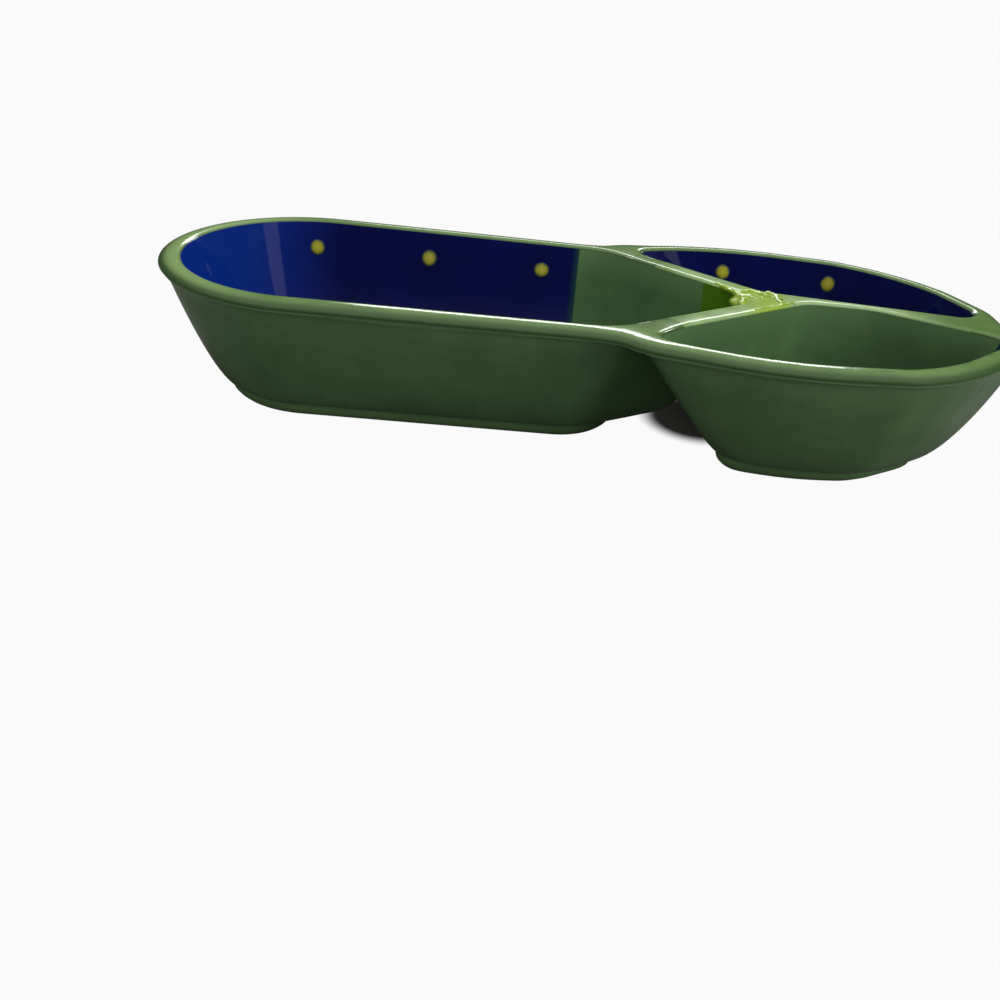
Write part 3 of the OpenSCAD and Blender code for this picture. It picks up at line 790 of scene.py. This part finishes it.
def lump(bm, place, size, seed):
    """An uneven ball of clay."""
    made = bmesh.ops.create_icosphere(bm, subdivisions=3, radius=1)["verts"]
    for v in made:
        v.co *= 1 + LUMP_WOBBLE * noise.noise(v.co * LUMP_WAVE + Vector((5 * seed, 2, 1)))
    placed = Matrix.Scale(MM, 4) @ Matrix.Translation(place) @ Matrix.Diagonal((*size, 1))
    bmesh.ops.transform(bm, verts=made, matrix=placed)


def fold(bm, path, radius, level):
    """A row of small lumps along a plan path, which join into a crinkled fold."""
    for start, stop in zip(path, path[1:]):
        steps = max(2, round(math.dist(start, stop) / radius))
        for i in range(steps):
            x, y = (a + (b - a) * i / steps for a, b in zip(start, stop))
            swell = radius * (1 + SWELL * noise.noise(Vector((x, y, level)) * SWELL_WAVE))
            lump(bm, (x, y, level), (swell, swell, FOLD_FLAT * radius), x + y)


# Two flat lumps, as place, size and seed, and the folds on them, as plan path, radius and level
LUMPS = [((63, 1.5, 47), (8.5, 7.5, 1.9), 1), ((56.8, 1, 46.8), (4.5, 5, 1.9), 2)]
FOLDS = [([(49.5, 14), (52.5, 9.5), (55.3, 5.5), (56.6, 1.5), (56.8, -3), (54.5, -7)], 1.5, 48.6),
         ([(58, 6.5), (61, 8), (64.5, 5.5), (66.3, 2)], 1.7, 48.9),
         ([(57.5, 2.5), (60, 1.5), (62.5, -1.5)], 1.3, 48.7),
         ([(67, 8.5), (69.3, 5), (69.3, 0.5), (70, -4)], 1.4, 48.9),
         ([(59, -12), (63.5, -8.8), (67.5, -5.8), (72, -2.2), (75, 1)], 0.8, 48.9)]


def knot():
    bm = bmesh.new()
    for place, size, seed in LUMPS:
        lump(bm, place, size, seed)
    for path, radius, level in FOLDS:
        fold(bm, path, radius, level)
    return bm


def remeshed(bm, voxel_mm, rounds):
    """The lumps as one skin, softened."""
    mesh = bpy.data.meshes.new("lumps")
    bm.to_mesh(mesh)
    bm.free()
    obj = bpy.data.objects.new("lumps", mesh)
    bpy.context.scene.collection.objects.link(obj)
    remesh = obj.modifiers.new("one_skin", "REMESH")
    remesh.mode = "VOXEL"
    remesh.voxel_size = voxel_mm * MM
    bpy.context.view_layer.update()
    whole = obj.evaluated_get(bpy.context.evaluated_depsgraph_get()).to_mesh()
    out = bmesh.new()
    out.from_mesh(whole)
    bpy.data.objects.remove(obj)
    for _ in range(rounds):
        bmesh.ops.smooth_vert(out, verts=out.verts, factor=0.5,
                              use_axis_x=True, use_axis_y=True, use_axis_z=True)
    return out


piece("luted_knot", remeshed(knot(), voxel_mm=0.35, rounds=2), KNOT, "lime_glaze", "centre_knot",
      crease=180)


# Floor, light and camera. The floor reaches this many metres each way and lies this many millimetres
# under the feet. Round a point in the gap between the bowls it fades from plain white to its matt grey:
# painted shade, which the real shadow deepens there. Past that the floor is nearly plain white.
FLOOR_REACH, FLOOR_DROP = 12, 0.2
SHADE_SPOT_POINT, SHADE_SPOT_NEAR, SHADE_SPOT_FAR, PLAIN_SHARE = (49, 2, 0), 15, 24, 0.95


def stage_floor():
    bm = bmesh.new()
    bmesh.ops.create_grid(bm, x_segments=8, y_segments=8, size=FLOOR_REACH,
                          matrix=Matrix.Translation((0, 0, -FLOOR_DROP * MM)))
    mesh = bpy.data.meshes.new("floor")
    bm.to_mesh(mesh)
    bm.free()
    obj = bpy.data.objects.new("floor", mesh)
    bpy.context.scene.collection.objects.link(obj)
    mat = bpy.data.materials.new("pale_paper_sweep")
    mat.use_nodes = True
    mat.node_tree.nodes.clear()
    matt = add(mat, "ShaderNodeBsdfDiffuse", {"Color": srgb("#6A6A66")})["BSDF"]
    white = add(mat, "ShaderNodeEmission", {"Color": srgb("#FFFFFF"), "Strength": 1.0})["Emission"]
    seen = add(mat, "ShaderNodeLightPath")["Is Camera Ray"]
    place = add(mat, "ShaderNodeTexCoord")["Object"]
    away = add(mat, "ShaderNodeVectorMath", {0: place, 1: Vector(SHADE_SPOT_POINT) * MM},
               operation="DISTANCE")["Value"]
    # Painted shade: near the point in the gap the floor shows its matt grey instead of plain white
    plain = add(mat, "ShaderNodeMapRange", {"Value": away, "From Min": SHADE_SPOT_NEAR * MM,
                                            "From Max": SHADE_SPOT_FAR * MM, "To Min": 0.0, "To Max": PLAIN_SHARE},
                interpolation_type="SMOOTHSTEP")["Result"]
    share = add(mat, "ShaderNodeMath", {0: seen, 1: plain}, operation="MULTIPLY")[0]
    both = add(mat, "ShaderNodeMixShader", {0: share, 1: matt, 2: white})["Shader"]
    add(mat, "ShaderNodeOutputMaterial", {"Surface": both})
    mesh.materials.append(mat)


def lamp(name, place, target, size, size_y, watts, mirrored=True):
    """A soft box, in metres, which shows as a reflection in the glaze where it is mirrored."""
    light = bpy.data.lights.new(name, "AREA")
    light.shape = "RECTANGLE"
    light.size = size
    light.size_y = size_y
    light.energy = watts
    obj = bpy.data.objects.new(name, light)
    bpy.context.scene.collection.objects.link(obj)
    obj.location = place
    obj.rotation_euler = (Vector(target) - Vector(place)).to_track_quat("-Z", "Y").to_euler()
    obj.visible_camera = False
    obj.visible_glossy = mirrored


def room_light():
    """A room that is bright overhead and dim at the horizon, and white to the camera."""
    world = bpy.data.worlds.new("room")
    bpy.context.scene.world = world
    world.use_nodes = True
    world.node_tree.nodes.clear()
    way = add(world, "ShaderNodeTexCoord")["Generated"]
    height = add(world, "ShaderNodeSeparateXYZ", {"Vector": way})["Z"]
    bright = add(world, "ShaderNodeMapRange", {"Value": height, "From Min": 0.35, "From Max": 1.0,
                                               "To Min": 0.05, "To Max": 0.8},
                 interpolation_type="SMOOTHSTEP")["Result"]
    dim = add(world, "ShaderNodeBackground", {"Color": srgb("#F6F4EE"), "Strength": bright})["Background"]
    plain = add(world, "ShaderNodeBackground", {"Color": srgb("#FFFFFF"), "Strength": 1.0})["Background"]
    seen = add(world, "ShaderNodeLightPath")["Is Camera Ray"]
    both = add(world, "ShaderNodeMixShader", {0: seen, 1: dim, 2: plain})["Shader"]
    add(world, "ShaderNodeOutputWorld", {"Surface": both})


stage_floor()
room_light()
lamp("back_strip", (0.1, 1.3, 0.75), (0, 0, 0.04), 0.9, 0.22, 6)
lamp("overhead", (0.0, 0.3, 1.4), (0, 0, 0), 0.5, 0.5, 8, mirrored=False)
lamp("front_fill", (-0.5, -1.3, 0.55), (0, 0, 0.03), 1.2, 1.0, 7, mirrored=False)
lamp("right_box", (1.3, -0.5, 0.6), (0, 0, 0.03), 0.5, 0.5, 11, mirrored=False)
lamp("right_glint", (1.2, -0.95, 0.6), (0, 0, 0.03), 0.4, 0.4, 0.25)

# The camera stands where the photograph's outlines put it, with the roll of the photograph
CAMERA_AT, SENSOR, LENS = (-16.6, -346.5, 157.8), 36, 36
yaw, pitch, roll = math.radians(-0.91), math.radians(30.12), math.radians(5.38)
forward = Vector((math.sin(yaw) * math.cos(pitch), math.cos(yaw) * math.cos(pitch), -math.sin(pitch)))
right = Vector((math.cos(yaw), -math.sin(yaw), 0))
up = right.cross(forward)
cam_x = math.cos(roll) * right + math.sin(roll) * up
cam_y = -math.sin(roll) * right + math.cos(roll) * up
lens = bpy.data.cameras.new("camera")
lens.sensor_width = SENSOR
lens.lens = LENS
lens.clip_start = 0.01
camera = bpy.data.objects.new("camera", lens)
bpy.context.scene.collection.objects.link(camera)
facing = Matrix((cam_x, cam_y, -forward)).transposed().to_4x4()
camera.matrix_world = Matrix.Translation(Vector(CAMERA_AT) * MM) @ facing
bpy.context.scene.camera = camera
bpy.context.scene.view_settings.view_transform = "Standard"
